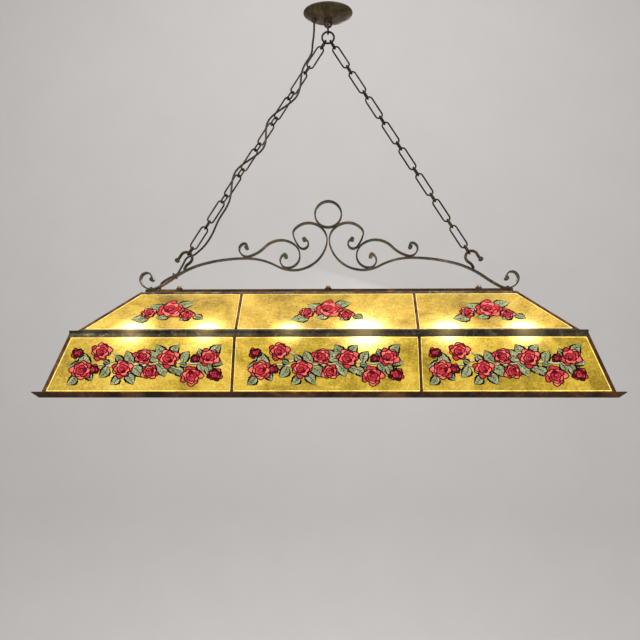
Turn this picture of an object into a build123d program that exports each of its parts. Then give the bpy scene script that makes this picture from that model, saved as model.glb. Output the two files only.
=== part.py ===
"""Pool table lamp: a long two-tier glass shade with iron scrollwork, hung on two chains.

Millimetres. The origin is the middle of the canopy's ceiling face, +Z up, +X to the right
along the lamp, and the front faces -Y. Heights named *_h are above the bottom of the rim.
"""
import os
from math import cos, hypot, pi, radians, sin, sqrt, tan

from build123d import *

os.makedirs("parts", exist_ok=True)

# ---- driving dimensions -----------------------------------------------------------------
overall_length = 1219.0
overall_depth = 508.0
lip_overhang = 14.0
lower_rise, lower_run = 136.0, 45.0
mid_ledge = 13.5
mid_rail_h = 143.0
upper_rise, upper_run = 97.0, 109.0
top_rail_h = 241.0
mullion_x = 196.0

glass = 3.0
sheet = 1.2
play = 0.2

spine_width, spine_height, spine_wall = 20.0, 14.0, 2.0
spine_end_x = 434.0
strip_width, strip_thickness = 18.0, 3.5
rolled_tip_r = 5.0
hook_rod = 7.0

chain_wire = 4.0
long_link, short_link, link_width = 64.0, 27.0, 20.6
chain_pairs = 8
link_play = 0.1
chain_twist, most_twist = 12.0, 42.0
ring_wire, ring_r = 5.0, 14.5
hanger_wire, hanger_length, hanger_width = 4.5, 26.0, 19.0
loop_r = 8.0
joint_play = 0.4

canopy_r, canopy_height = 60.0, 19.0
cord_d = 5.0

cluster_x = 355.0
cluster_h = 226.0
socket_drop = 36.0
bulb_r, bulb_reach = 30.0, 104.0

# ---- worked out from them ---------------------------------------------------------------
end_shift = (overall_length - overall_depth) / 2
lower_foot_u = overall_depth / 2 - lip_overhang
LOWER = ((lower_foot_u, 0.0), (lower_foot_u - lower_run, lower_rise))
upper_foot_u = lower_foot_u - lower_run - mid_ledge
UPPER = ((upper_foot_u, mid_rail_h), (upper_foot_u - upper_run, mid_rail_h + upper_rise))
spine_h = top_rail_h + spine_height

# hook: a crook of this radius; the chains pull straight from its middle to the ring's middle
crook_r = 14.5
crook_x, crook_h = 340.0, 331.5
seat_reach = crook_r - hook_rod / 2 - chain_wire / 2 - joint_play
ring_reach = ring_r - ring_wire / 2 - chain_wire / 2 - link_play
link_step = long_link + short_link - 4 * chain_wire - 2 * link_play
chain_length = chain_pairs * link_step + short_link - chain_wire
pull_length = seat_reach + chain_length + ring_reach
ring_h = crook_h + sqrt(pull_length**2 - crook_x**2)
pull_x, pull_z = crook_x / pull_length, (ring_h - crook_h) / pull_length
hanger_foot_h = ring_h + ring_r - ring_wire / 2 - hanger_wire / 2 - joint_play
hanger_top_h = hanger_foot_h + hanger_length - hanger_wire
loop_foot_h = hanger_top_h - hanger_wire / 2 - ring_wire / 2 - joint_play
loop_h = loop_foot_h + loop_r
canopy_foot_h = loop_h + loop_r + ring_wire / 2
ceiling_h = canopy_foot_h + canopy_height
rim_z = -ceiling_h


def z_of(height):
    """A height above the rim's bottom, as a z in the part's frame."""
    return rim_z + height


# ---- helpers ------------------------------------------------------------------------------
def slope(tier):
    """Length of a tier's glass in section, and the section direction that it climbs in."""
    (u0, h0), (u1, h1) = tier
    length = hypot(u1 - u0, h1 - h0)
    return length, (u1 - u0) / length, (h1 - h0) / length


def on_tier(tier, climb, proud):
    """Section point that lies climb up the glass from its foot, and proud of its outer face."""
    length, cu, ch = slope(tier)
    return (tier[0][0] + climb * cu + proud * ch, tier[0][1] + climb * ch - proud * cu)


def under(tier, height, proud):
    """Section point at a height on the line that runs proud of the glass's outer face."""
    length, cu, ch = slope(tier)
    climb = (height - tier[0][1] + proud * cu) / ch
    return on_tier(tier, climb, proud)


SIDES = {"front": (0, -1), "back": (0, 1), "left": (-1, 0), "right": (1, 0)}


def side_plane(side, tier, proud=0.0):
    """Plane of one side's glass: X along the side, Y up the slope, origin at the foot."""
    length, cu, ch = slope(tier)
    out = Vector(*SIDES[side], 0)
    reach = tier[0][0] + (end_shift if side in ("left", "right") else 0)
    foot = out * reach + Vector(0, 0, z_of(tier[0][1]))
    normal = out * ch + Vector(0, 0, -cu)
    return Plane(origin=foot + normal * proud, x_dir=Vector(0, 0, 1).cross(out), z_dir=normal)


def welded_rail(section):
    """One bent-sheet section carried round the four sides and welded at its mitres."""
    foot_u = section[0][0]
    x, y = foot_u + end_shift, foot_u
    with BuildPart() as rail:
        with BuildLine(Plane.XY.offset(rim_z)) as run:
            Polyline((0, -y), (x, -y), (x, y), (-x, y), (-x, -y), (0, -y))
        with BuildSketch(Plane(origin=(0, 0, rim_z), x_dir=(0, -1, 0), z_dir=(1, 0, 0))):
            with BuildLine():
                Polyline(*[(u, -h) for u, h in section], close=True)
            make_face()
        sweep(path=run.wires()[0], transition=Transition.RIGHT)
    return rail


def tangent_arcs(points, heading):
    """Arcs through the points; each leaves in the direction in which the last one arrives."""
    for start, end in zip(points, points[1:]):
        arc = TangentArc(start, end, tangent=heading)
        heading = arc % 1


def add_rod(path, diameter):
    """Round rod along a path, added to the part being built."""
    with BuildSketch(Plane(origin=path @ 0, z_dir=path % 0)) as section:
        Circle(diameter / 2)
    sweep(section.sketch, path=path)


def add_link(plane, length, width, wire):
    """Welded oval link with its long axis along the plane's X."""
    with BuildSketch(plane, mode=Mode.PRIVATE) as oval:
        SlotOverall(length - wire, width - wire)
    add_rod(oval.sketch.face().outer_wire(), wire)


def cord_radii(places):
    """Radius for each corner of a cord's route, as large as its two runs allow."""
    radii = []
    for before, corner, after in zip(places, places[1:], places[2:]):
        arriving, leaving = corner - before, after - corner
        turn = radians(arriving.get_angle(leaving))
        radii.append(0.45 * min(arriving.length, leaving.length) / tan(turn / 2))
    return radii


# ---- glass panels -------------------------------------------------------------------------
hip_gap = 3.5
came_web = 2.0
web_gap = 0.2
foot_gap = {"lower": 2.7, "upper": 2.2}
head_gap = {"lower": 1.6, "upper": 3.0}

for tier_name, tier in (("lower", LOWER), ("upper", UPPER)):
    length, cu, ch = slope(tier)
    bottom, top = foot_gap[tier_name], length - head_gap[tier_name]
    gap = hip_gap * sqrt(1 + cu**2)
    edge = came_web / 2 + web_gap
    for side in SIDES:
        half = tier[0][0] + (end_shift if side in ("front", "back") else 0)
        low, high = half + cu * bottom - gap, half + cu * top - gap
        outlines = {f"{tier_name}_panel_{side}": (-low, low, high, -high)}
        if side in ("front", "back"):
            first, last = ("left", "right") if side == "front" else ("right", "left")
            outlines = {
                f"{tier_name}_panel_{side}_{first}": (-low, -mullion_x - edge, -mullion_x - edge, -high),
                f"{tier_name}_panel_{side}_centre": (
                    -mullion_x + edge, mullion_x - edge, mullion_x - edge, -mullion_x + edge
                ),
                f"{tier_name}_panel_{side}_{last}": (mullion_x + edge, low, high, mullion_x + edge),
            }
        for node, (x0, x1, x2, x3) in outlines.items():
            with BuildPart() as panel:
                with BuildSketch(side_plane(side, tier)):
                    with BuildLine():
                        Polyline((x0, bottom), (x1, bottom), (x2, top), (x3, top), close=True)
                    make_face()
                extrude(amount=-glass)
            panel.part.label = node
            export_step(panel.part, f"parts/{node}.step")

# ---- rim, mid rail and top frame ----------------------------------------------------------
leaf = sheet + play
lower_length, _, _ = slope(LOWER)
upper_length, _, _ = slope(UPPER)
back_face = -glass - play
back_leaf = back_face - sheet

lip_u = overall_depth / 2
rim = welded_rail([
    (lower_foot_u - 4.6, 0), (lower_foot_u + 1.0, 0),
    (lip_u, 11.2), (lip_u - 1.0, 12.4), on_tier(LOWER, 2.2, 0.8),
    on_tier(LOWER, 2.2, back_face), on_tier(LOWER, 14, back_face), on_tier(LOWER, 14, back_leaf),
])
rim.part.label = "rim"
export_step(rim.part, "parts/rim.step")

lap = 8.0
face_u = LOWER[1][0] + leaf + 0.2
mid_rail = welded_rail([
    on_tier(LOWER, lower_length - lap, play), on_tier(LOWER, lower_length - lap, leaf),
    on_tier(LOWER, lower_length, leaf), (face_u, mid_rail_h), (upper_foot_u + 2.6, mid_rail_h),
    on_tier(UPPER, 4.5, leaf), on_tier(UPPER, 4.5, play), on_tier(UPPER, 1.8, play),
    on_tier(UPPER, 1.8, back_face), on_tier(UPPER, 6, back_face), on_tier(UPPER, 6, back_leaf),
    on_tier(UPPER, 0.2, back_leaf), under(LOWER, mid_rail_h - 2.6, back_leaf),
    on_tier(LOWER, lower_length - lap, back_leaf), on_tier(LOWER, lower_length - lap, back_face),
    under(LOWER, mid_rail_h - sheet, back_face), (face_u - sheet, mid_rail_h - sheet),
    on_tier(LOWER, lower_length, play),
])
mid_rail.part.label = "mid_rail"
export_step(mid_rail.part, "parts/mid_rail.step")

top_inner_u = UPPER[1][0] - 10.5
top_drop = 13.0
under_top = top_rail_h - sheet
top_frame = welded_rail([
    on_tier(UPPER, upper_length - lap, play), on_tier(UPPER, upper_length - lap, leaf),
    under(UPPER, top_rail_h, leaf), (top_inner_u, top_rail_h),
    (top_inner_u, top_rail_h - top_drop), (top_inner_u + sheet, top_rail_h - top_drop),
    (top_inner_u + sheet, under_top), under(UPPER, under_top, back_leaf),
    on_tier(UPPER, upper_length - lap, back_leaf), on_tier(UPPER, upper_length - lap, back_face),
    under(UPPER, under_top, back_face), under(UPPER, under_top, play),
])
top_frame.part.label = "top_frame"
export_step(top_frame.part, "parts/top_frame.step")

# ---- hips and mullions, each a came that laps both panels ---------------------------------
hip_leg = 5.5
came_width = 6.0
foot_clear = {"lower": 4.2, "upper": 6.5}
inner_clear = {"lower": 14.4, "upper": 6.5}


def corner_section(origin, climb, n1, n2, e1, e2):
    """Bent came round a corner: outer legs over both panels, and a web between their edges."""
    web = hip_gap - web_gap
    outer = (n1 + n2) * (sheet / (1 + n1.dot(n2)))
    inner = (n1 + n2) * (-glass / (1 + n1.dot(n2)))
    return [
        e1 * hip_leg, e1 * hip_leg + n1 * sheet, outer, e2 * hip_leg + n2 * sheet, e2 * hip_leg,
        e2 * web, e2 * web - n2 * glass, inner, e1 * web - n1 * glass, e1 * web,
    ]


for tier_name, tier in (("lower", LOWER), ("upper", UPPER)):
    length, cu, ch = slope(tier)
    (u0, h0), (u1, h1) = tier
    low_cut = z_of(on_tier(tier, foot_clear[tier_name], 0)[1])
    high_cut = z_of(on_tier(tier, length - lap, 0)[1]) - 0.1
    spare = 20.0
    with BuildPart() as hips:
        for sx, sy in ((1, 1), (-1, 1), (-1, -1), (1, -1)):
            foot = Vector(sx * (u0 + end_shift), sy * u0, z_of(h0))
            head = Vector(sx * (u1 + end_shift), sy * u1, z_of(h1))
            climb = (head - foot).normalized()
            n1, n2 = Vector(0, sy * ch, -cu), Vector(sx * ch, 0, -cu)
            e1, e2 = n1.cross(climb), n2.cross(climb)
            e1 = e1 if e1.X * sx < 0 else e1 * -1
            e2 = e2 if e2.Y * sy < 0 else e2 * -1
            plane = Plane(origin=foot - climb * spare, z_dir=climb)
            corners = corner_section(foot, climb, n1, n2, e1, e2)
            flat = [plane.to_local_coords(plane.origin + c) for c in corners]
            with BuildSketch(plane):
                with BuildLine():
                    Polyline(*[(p.X, p.Y) for p in flat], close=True)
                make_face()
            extrude(amount=(head - foot).length + 2 * spare)
        split(bisect_by=Plane.XY.offset(low_cut), keep=Keep.TOP)
        split(bisect_by=Plane.XY.offset(high_cut), keep=Keep.BOTTOM)
    hips.part.label = f"{tier_name}_hips"
    export_step(hips.part, f"parts/{tier_name}_hips.step")

    with BuildPart() as mullions:
        for side in ("front", "back"):
            strips = (
                (0.0, sheet, came_width, foot_clear[tier_name], length - lap - 0.1),
                (0.0, -glass, came_web, foot_gap[tier_name], length - head_gap[tier_name]),
                (-glass, -sheet, came_width, inner_clear[tier_name], length - lap - 0.1),
            )
            for proud, thick, wide, start, end in strips:
                with BuildSketch(side_plane(side, tier, proud)):
                    with Locations((-mullion_x, (start + end) / 2), (mullion_x, (start + end) / 2)):
                        Rectangle(wide, end - start)
                extrude(amount=thick)
    mullions.part.label = f"{tier_name}_mullions"
    export_step(mullions.part, f"parts/{tier_name}_mullions.step")

# ---- spine: an upside-down channel over the end rails -------------------------------------
stem_r = 5.0
foot_x = 423.0
screw_r = 2.4
entry_x = -392.0
entry_z = z_of(spine_h - 7.0)
grommet_r = 5.0

with BuildPart() as spine_bar:
    with BuildSketch(Plane.YZ.offset(-spine_end_x)):
        with Locations((0, z_of(spine_h - spine_height / 2))):
            Rectangle(spine_width, spine_height)
        with Locations((0, z_of(spine_h - spine_height / 2 - spine_wall))):
            Rectangle(spine_width - 2 * spine_wall, spine_height, mode=Mode.SUBTRACT)
    extrude(amount=2 * spine_end_x)
    with Locations(*[(x, 0, z_of(spine_h)) for x in (-cluster_x, 0, cluster_x)]):
        Hole(stem_r + 0.2, depth=spine_wall + 1)
    with Locations(*[(x, 0, z_of(spine_h)) for x in (-foot_x, foot_x)]):
        Hole(screw_r + 0.1, depth=spine_wall + 1)
    with Locations(Plane(origin=(entry_x, spine_width / 2, entry_z), z_dir=(0, 1, 0))):
        Hole(3.3, depth=spine_wall + 1)
spine_bar.part.label = "spine_bar"
export_step(spine_bar.part, "parts/spine_bar.step")

# ---- scrollwork ---------------------------------------------------------------------------
# Each bar is a chain of tangent arcs in the XZ plane: x from the middle, height over the rim.
strip_z = strip_thickness / 2
foot_bend_h = spine_h + strip_z + 0.05
arch = (-197.0, 330.0)
arch_out = [arch, (-298, 317), (-369, 283.5), (-404, 261.6), (-foot_x, foot_bend_h),
            (-448, 277), (-434, 296), (-421, 280)]
arch_in = [arch, (-122, 311), (-70, 302), (-22, 328), (-3.6, 364), (-15, 402),
           (-47, 415), (-79, 401), (-83, 384), (-69, 357), (-48, 360), (-57, 375)]
small_top = (-112.0, 373.5)
small_out = [small_top, (-152, 356.5), (-189, 334.8), (-212, 350), (-200, 366), (-195, 356)]
small_in = [small_top, (-80, 362), (-67.5, 336), (-98, 306.9), (-114, 327), (-105, 340), (-101, 334)]
scroll_plane = Plane(origin=(0, 0, rim_z), x_dir=(1, 0, 0), z_dir=(0, -1, 0))


def add_strip(runs, side):
    """Flat bar on edge along both runs from a shared middle, with rolled tips."""
    with BuildSketch(scroll_plane) as bar:
        for points, heading in runs:
            flipped = [(-side * x, h) for x, h in points]
            with BuildLine():
                tangent_arcs(flipped, (-side * heading, 0))
            trace(line_width=strip_thickness)
            with Locations(flipped[-1]):
                Circle(rolled_tip_r)
    extrude(bar.sketch, amount=strip_width / 2, both=True)


for side, name in ((-1, "left"), (1, "right")):
    with BuildPart() as long_scroll:
        add_strip(((arch_out, -1), (arch_in, 1)), side)
        with Locations((side * foot_x, 0, z_of(foot_bend_h + 4))):
            Hole(screw_r + 0.1, depth=8)
    long_scroll.part.label = f"long_scroll_{name}"
    export_step(long_scroll.part, f"parts/long_scroll_{name}.step")

    with BuildPart() as small_scroll:
        add_strip(((small_out, -1), (small_in, 1)), side)
    small_scroll.part.label = f"small_scroll_{name}"
    export_step(small_scroll.part, f"parts/small_scroll_{name}.step")

crest_r = 31.5
crest_h = 435.6
with BuildPart() as crest_ring:
    with BuildSketch(scroll_plane):
        with Locations((0, crest_h)):
            Circle(crest_r + strip_z)
            Circle(crest_r - strip_z, mode=Mode.SUBTRACT)
    extrude(amount=strip_width / 2, both=True)
crest_ring.part.label = "crest_ring"
export_step(crest_ring.part, "parts/crest_ring.step")

# ---- chain hooks: round rod with a crook and a rolled eye at the tip ----------------------
crook_top = (crook_x, crook_h + crook_r)
hook_down = [crook_top, (crook_x - crook_r, crook_h), (crook_x - 7, crook_h - 13), (343.5, 303.0)]
hook_tip = [crook_top, (crook_x + 12, crook_h + 7.5), (361.0, 326.0)]
eye_r = 5.5

for side, name in ((-1, "left"), (1, "right")):
    with BuildPart() as hook:
        for points, heading in ((hook_down, -1), (hook_tip, 1)):
            with BuildLine(mode=Mode.PRIVATE) as bend:
                tangent_arcs([(side * x, h) for x, h in points], (side * heading, 0))
            add_rod(bend.wires()[0].moved(scroll_plane.location), hook_rod)
        with Locations((side * hook_tip[-1][0], 0, z_of(hook_tip[-1][1]))):
            Cylinder(eye_r, hook_rod + 2, rotation=(90, 0, 0))
    hook.part.label = f"chain_hook_{name}"
    export_step(hook.part, f"parts/chain_hook_{name}.step")

head_h = spine_h + strip_thickness + 0.9
with BuildPart() as scroll_foot_screws:
    for x in (-foot_x, foot_x):
        with BuildSketch(Plane.XY.offset(z_of(spine_h - 6))):
            with Locations((x, 0)):
                Circle(screw_r)
        extrude(amount=6 + head_h - spine_h)
        with BuildSketch(Plane.XY.offset(z_of(head_h))):
            with Locations((x, 0)):
                Circle(3.8)
        extrude(amount=2.6, taper=18)
scroll_foot_screws.part.label = "scroll_foot_screws"
export_step(scroll_foot_screws.part, "parts/scroll_foot_screws.step")

# ---- lamp clusters ------------------------------------------------------------------------
body_r, body_height = 14.0, 26.0
neck_r, neck_end = 7.0, 23.8
socket_r, socket_start, socket_end = 17.0, 24.0, 54.0
cap_r, cap_start = 12.8, 36.0
nut_height = 4.0
cluster_z = z_of(cluster_h)
stem_top = z_of(spine_h + 8)
middle_xs = (-cluster_x, 0.0, cluster_x)


def socket_plane(x, side):
    """Plane at a cluster's middle with its X down the axis of one socket."""
    down = Vector(side * cos(radians(socket_drop)), 0, -sin(radians(socket_drop)))
    return Plane(origin=(x, 0, cluster_z), x_dir=down, z_dir=(0, 1, 0))


def turned(plane, corners):
    """Solid of revolution about the plane's X from corners given as (along, radius)."""
    with BuildSketch(plane) as section:
        with BuildLine():
            Polyline(*corners, close=True)
        make_face()
    revolve(section.sketch, axis=Axis(plane.origin, plane.x_dir))


with BuildPart() as cluster_bodies:
    for x in middle_xs:
        with Locations((x, 0, cluster_z)):
            Cylinder(body_r, body_height)
        for side in (-1, 1):
            turned(socket_plane(x, side), [(0, 0), (0, neck_r), (neck_end, neck_r), (neck_end, 0)])
        with Locations((x, 0, cluster_z - body_height / 2)):
            Sphere(6.0)
    with Locations(*[(x, 0, cluster_z + body_height / 2) for x in middle_xs]):
        Hole(stem_r + 0.1, depth=10)
cluster_bodies.part.label = "cluster_bodies"
export_step(cluster_bodies.part, "parts/cluster_bodies.step")

with BuildPart() as cluster_stems:
    for x in middle_xs:
        with BuildSketch(Plane.XY.offset(cluster_z + body_height / 2 - 9)):
            with Locations((x, 0)):
                Circle(stem_r)
                Circle(stem_r - 1.5, mode=Mode.SUBTRACT)
        extrude(amount=stem_top - (cluster_z + body_height / 2 - 9))
cluster_stems.part.label = "cluster_stems"
export_step(cluster_stems.part, "parts/cluster_stems.step")

with BuildPart() as stem_nuts:
    for x in middle_xs:
        for foot in (spine_h, spine_h - spine_wall - nut_height):
            with BuildSketch(Plane.XY.offset(z_of(foot))):
                with Locations((x, 0)):
                    RegularPolygon(7.8, 6, major_radius=True)
                    Circle(stem_r + 0.05, mode=Mode.SUBTRACT)
            extrude(amount=nut_height)
stem_nuts.part.label = "stem_nuts"
export_step(stem_nuts.part, "parts/stem_nuts.step")

with BuildPart() as lamp_sockets:
    for x in middle_xs:
        for side in (-1, 1):
            turned(socket_plane(x, side), [
                (socket_start, 0), (socket_start, socket_r - 3), (socket_start + 3, socket_r),
                (socket_end, socket_r), (socket_end, cap_r + 0.5), (cap_start - 1, cap_r + 0.5),
                (cap_start - 1, 0),
            ])
lamp_sockets.part.label = "lamp_sockets"
export_step(lamp_sockets.part, "parts/lamp_sockets.step")

bulb_places = [(x, side) for x in middle_xs for side in (-1, 1)]
for number, (x, side) in enumerate(bulb_places, start=1):
    plane = socket_plane(x, side)
    with BuildPart() as bulb:
        with BuildSketch(plane):
            with BuildLine():
                tip = (bulb_reach + bulb_r, 0)
                shoulder = (bulb_reach - 0.6 * bulb_r, 0.8 * bulb_r)
                Polyline(tip, (cap_start, 0), (cap_start, 6), (cap_start + 3, cap_r), (60, cap_r), shoulder)
                ThreePointArc(shoulder, (bulb_reach, bulb_r), tip)
            make_face()
        revolve(axis=Axis(plane.origin, plane.x_dir))
    bulb.part.label = f"bulb_{number}"
    export_step(bulb.part, f"parts/bulb_{number}.step")

wire_d = 4.0
wire_h = spine_h - 8.5
with BuildPart() as inner_wires:
    clear = stem_r + 1
    spans = ((entry_x + 2, -cluster_x - clear), (-cluster_x + clear, -clear), (clear, cluster_x - clear))
    for start, end in spans:
        with BuildSketch(Plane.YZ.offset(start)):
            with Locations((0, z_of(wire_h))):
                Circle(wire_d / 2)
        extrude(amount=end - start)
inner_wires.part.label = "inner_wires"
export_step(inner_wires.part, "parts/inner_wires.step")

# ---- chains -------------------------------------------------------------------------------
def pull_point(side, along, inward=0.0, depth=0.0):
    """Point on a chain's line, measured from the crook's middle, and moved off it sideways."""
    x = crook_x - along * pull_x - inward * pull_z
    h = crook_h + along * pull_z - inward * pull_x
    return Vector(side * x, depth, z_of(h))


def link_plane(side, along, turn):
    """Plane of a link at a place on the chain; turn 0 has its flat side to the front."""
    up, inward = Vector(-side * pull_x, 0, pull_z), Vector(-side * pull_z, 0, -pull_x)
    normal = Vector(0, -cos(radians(turn)), 0) + inward * sin(radians(turn))
    return Plane(origin=pull_point(side, along), x_dir=up, z_dir=normal)


first_short = seat_reach + (short_link - chain_wire) / 2
for side, name in ((-1, "left"), (1, "right")):
    for size, length, start, count, quarter in (
        ("short", short_link, first_short, chain_pairs + 1, 90),
        ("long", long_link, first_short + link_step / 2, chain_pairs, 0),
    ):
        with BuildPart() as links:
            for number in range(count):
                place = start + number * link_step
                order = 2 * number + (1 if size == "long" else 0)
                from_end = min(order, 2 * chain_pairs - order)
                twist = min(from_end * chain_twist, most_twist) if side < 0 else 0
                add_link(link_plane(side, place, quarter + twist), length, link_width, chain_wire)
        links.part.label = f"{name}_{size}_links"
        export_step(links.part, f"parts/{name}_{size}_links.step")

with BuildPart() as carrier_ring:
    add_link(
        Plane(origin=(0, 0, z_of(ring_h)), x_dir=(0, 0, 1), z_dir=(0, -1, 0)),
        2 * ring_r + ring_wire + 0.01, 2 * ring_r + ring_wire, ring_wire,
    )
carrier_ring.part.label = "carrier_ring"
export_step(carrier_ring.part, "parts/carrier_ring.step")

with BuildPart() as hanger_link:
    add_link(
        Plane(origin=(0, 0, z_of((hanger_foot_h + hanger_top_h) / 2)), x_dir=(0, 0, 1), z_dir=(1, 0, 0)),
        hanger_length, hanger_width, hanger_wire,
    )
hanger_link.part.label = "hanger_link"
export_step(hanger_link.part, "parts/hanger_link.step")

# ---- canopy -------------------------------------------------------------------------------
wall = 1.2
bar_length, bar_width, bar_thick = 104.0, 14.0, 3.0
box_screw_spacing = 88.9
nipple_r = 4.8
collar_r, collar_height = 10.0, 4.0
bushing_x = -34.0
bushing_hole_r = 4.5
bushing_flange_z = -21.0

with BuildPart() as canopy_cover:
    with BuildSketch(Plane.XZ):
        with BuildLine():
            foot = (canopy_r, 0)
            Line((0, 0), foot)
            Line(foot, (canopy_r, -3))
            RadiusArc((canopy_r, -3), (20, -canopy_height), 62)
            Line((20, -canopy_height), (0, -canopy_height))
            Line((0, -canopy_height), (0, 0))
        make_face()
    revolve(axis=Axis.Z)
    base = canopy_cover.faces().sort_by(Axis.Z)[-1]
    offset(amount=-wall, openings=base)
    with Locations((0, 0, -canopy_height)):
        Cylinder(nipple_r + 0.2, 10, mode=Mode.SUBTRACT)
    with Locations((bushing_x, 0, -canopy_height)):
        Cylinder(bushing_hole_r, 24, mode=Mode.SUBTRACT)
canopy_cover.part.label = "canopy_cover"
export_step(canopy_cover.part, "parts/canopy_cover.step")

with BuildPart() as ceiling_crossbar:
    with BuildSketch():
        SlotOverall(bar_length, bar_width)
        with GridLocations(box_screw_spacing, 0, 2, 1):
            Circle(2.4, mode=Mode.SUBTRACT)
        Circle(nipple_r + 0.1, mode=Mode.SUBTRACT)
    extrude(amount=-bar_thick)
ceiling_crossbar.part.label = "ceiling_crossbar"
export_step(ceiling_crossbar.part, "parts/ceiling_crossbar.step")

with BuildPart() as canopy_loop:
    add_link(
        Plane(origin=(0, 0, z_of(loop_h)), x_dir=(0, 0, 1), z_dir=(0, -1, 0)),
        2 * loop_r + ring_wire + 0.01, 2 * loop_r + ring_wire, ring_wire,
    )
    with BuildSketch(Plane.XY.offset(-canopy_height - 0.05)):
        Circle(collar_r)
    extrude(amount=-collar_height, taper=12)
    with BuildSketch(Plane.XY.offset(-canopy_height - 0.05)):
        Circle(nipple_r)
    extrude(amount=canopy_height - 0.5)
canopy_loop.part.label = "canopy_loop"
export_step(canopy_loop.part, "parts/canopy_loop.step")

with BuildPart() as canopy_nuts:
    for top in (-bar_thick, -canopy_height + wall + nut_height):
        with BuildSketch(Plane.XY.offset(top)):
            RegularPolygon(8.5, 6)
            Circle(nipple_r + 0.05, mode=Mode.SUBTRACT)
        extrude(amount=-nut_height)
canopy_nuts.part.label = "canopy_nuts"
export_step(canopy_nuts.part, "parts/canopy_nuts.step")

with BuildPart() as canopy_bushing:
    with BuildSketch(Plane.XZ.offset(0)):
        with BuildLine():
            Polyline(
                (bushing_x + 2.6, -24), (bushing_x + 4.4, -24), (bushing_x + 6.4, bushing_flange_z),
                (bushing_x + 6.4, bushing_flange_z + 1.6), (bushing_x + 4.2, bushing_flange_z + 1.6),
                (bushing_x + 4.2, -8), (bushing_x + 2.6, -8), close=True,
            )
        make_face()
    revolve(axis=Axis((bushing_x, 0, 0), (0, 0, 1)))
canopy_bushing.part.label = "canopy_bushing"
export_step(canopy_bushing.part, "parts/canopy_bushing.step")

# ---- supply cord --------------------------------------------------------------------------
# It leaves the canopy, joins the left chain behind, weaves through every long link, bulges
# inwards beside the last two pairs, passes behind the hook and lies on the left arch.
weave = 27.0
weave_x, weave_y = sin(radians(most_twist)), cos(radians(most_twist))


def beside_chain(along, inward, depth):
    """Cord point given by its place on the left chain."""
    return tuple(pull_point(-1, along, inward, depth))


def at_short_link(number, reach):
    """Cord point off the side of one short link, along the twisted links' common normal."""
    return beside_chain(first_short + number * link_step, reach * weave_x, -reach * weave_y)


cord_top_points = [
    (bushing_x, 0, -24.2), (bushing_x, 1, -37), (bushing_x - 1, 5, -54), (bushing_x - 4, 12, -72)
]
cord_chain_points = [(bushing_x - 4.3, 12.8, -74), (bushing_x - 8, 20, -96), at_short_link(7, -21)]
cord_chain_points += [at_short_link(6 - step, weave * (-1) ** step) for step in range(5)]
cord_chain_points += [
    beside_chain(118, 19, -11), beside_chain(80, 22, 0), beside_chain(48, 19, 9),
    beside_chain(18, 9, 14.5), beside_chain(6, 1, 14.0),
]
cord_shade_points = [
    (-340.5, 13.6, z_of(334.5)), (-350, 9.5, z_of(316)), (-361, 3, z_of(294.5)),
    (-378, 0.5, z_of(284.6)), (-392, 3.5, z_of(277)), (-403, 14, z_of(269)),
    (-405, 21, z_of(254)), (-397, 23, z_of(247.5)), (entry_x, 17, entry_z), (entry_x, 12.4, entry_z),
]
for node, points in (
    ("cord_top", cord_top_points), ("cord_chain", cord_chain_points), ("cord_shade", cord_shade_points)
):
    places = [Vector(*p) for p in points]
    radii = cord_radii(places)
    with BuildPart() as cord:
        with BuildLine() as route:
            FilletPolyline(*places, radius=radii)
        path = route.wires()[0]
        with BuildSketch(Plane(origin=path @ 0, z_dir=path % 0)):
            Circle(cord_d / 2)
        sweep(path=path)
    tube_length = cord.part.volume / (pi * cord_d**2 / 4)
    print(node, "length", round(path.length), "from its volume", round(tube_length))
    print("radii", [round(r, 1) for r in radii])
    cord.part.label = node
    export_step(cord.part, f"parts/{node}.step")

with BuildPart() as cord_grommet:
    with BuildSketch(Plane(origin=(entry_x, spine_width / 2 + 2, entry_z), z_dir=(0, -1, 0))):
        Circle(grommet_r)
    extrude(amount=1.9)
    with BuildSketch(Plane(origin=(entry_x, spine_width / 2 + 2, entry_z), z_dir=(0, -1, 0))):
        Circle(3.2)
    extrude(amount=5.0)
cord_grommet.part.label = "cord_grommet"
export_step(cord_grommet.part, "parts/cord_grommet.step")

tie_place = (-366.0, 1.2, z_of(288.5))
tie_along = Vector(cos(radians(32.5)), 0, sin(radians(32.5)))
with BuildPart() as cord_tie:
    with BuildSketch(Plane(origin=tie_place, x_dir=(0, 1, 0), z_dir=tie_along)):
        RectangleRounded(strip_width + 5, strip_thickness + cord_d + 4.6, 3)
        RectangleRounded(strip_width + 2.6, strip_thickness + cord_d + 2.4, 2, mode=Mode.SUBTRACT)
    extrude(amount=2, both=True)
cord_tie.part.label = "cord_tie"
export_step(cord_tie.part, "parts/cord_tie.step")
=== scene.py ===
from collections import namedtuple
from math import cos, hypot, pi, radians, sin

import bpy
from mathutils import Matrix, Vector


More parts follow.
